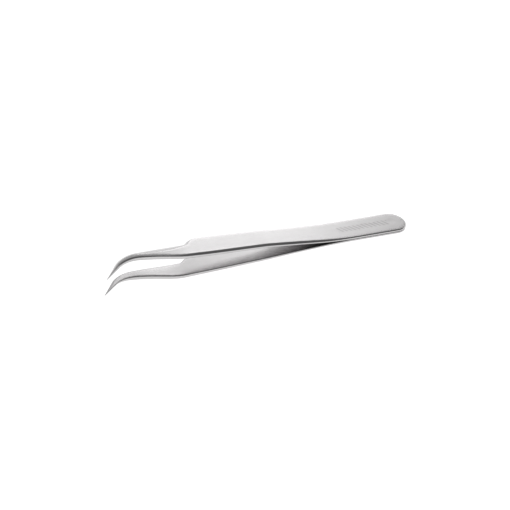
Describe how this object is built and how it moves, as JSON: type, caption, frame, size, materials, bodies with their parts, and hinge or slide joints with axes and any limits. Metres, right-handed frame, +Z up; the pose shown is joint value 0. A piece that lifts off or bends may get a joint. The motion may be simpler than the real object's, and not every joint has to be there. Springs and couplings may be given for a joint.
{
  "type": "precision tweezers",
  "caption": "Curved-tip precision tweezers: flat sprung steel arms welded together at a rounded tail, with shouldered grips and fine bent points that close when squeezed.",
  "frame": {"origin": "centre of the bounding box's bottom face, on the surface that the tweezers lie on", "axes": "+X along the length from the tail to the points, +Y across the arms to the side that the points curve towards, +Z up from the lower arm to the upper arm"},
  "size_m": [0.1151, 0.0132, 0.01],
  "materials": {
    "satin_steel": "satin stainless steel, ground along the length",
    "weld_steel": "fused stainless steel, as welded"
  },
  "bodies": {
    "tail": {"upper_tail": "satin_steel", "lower_tail": "satin_steel", "weld_nuggets": "weld_steel"},
    "upper_arm": {"upper_blade": "satin_steel"},
    "lower_arm": {"lower_blade": "satin_steel"}
  },
  "joints": [
    {"name": "upper_flex", "type": "hinge", "parent": "tail", "child": "upper_arm", "pos_m": [-0.02753, -0.00153, 0.00246], "axis": [0, 1, 0], "range_deg": [0, 2.01], "stiffness_Nm_per_rad": 0.8, "springref_deg": -0.46},
    {"name": "lower_flex", "type": "hinge", "parent": "tail", "child": "lower_arm", "pos_m": [-0.02751, -0.00153, 0.00194], "axis": [0, -1, 0], "range_deg": [0, 2.01], "stiffness_Nm_per_rad": 0.8, "springref_deg": -0.46}
  ],
  "couplings": [
    {"joint": "lower_flex", "follows": "upper_flex", "ratio": 1}
  ]
}
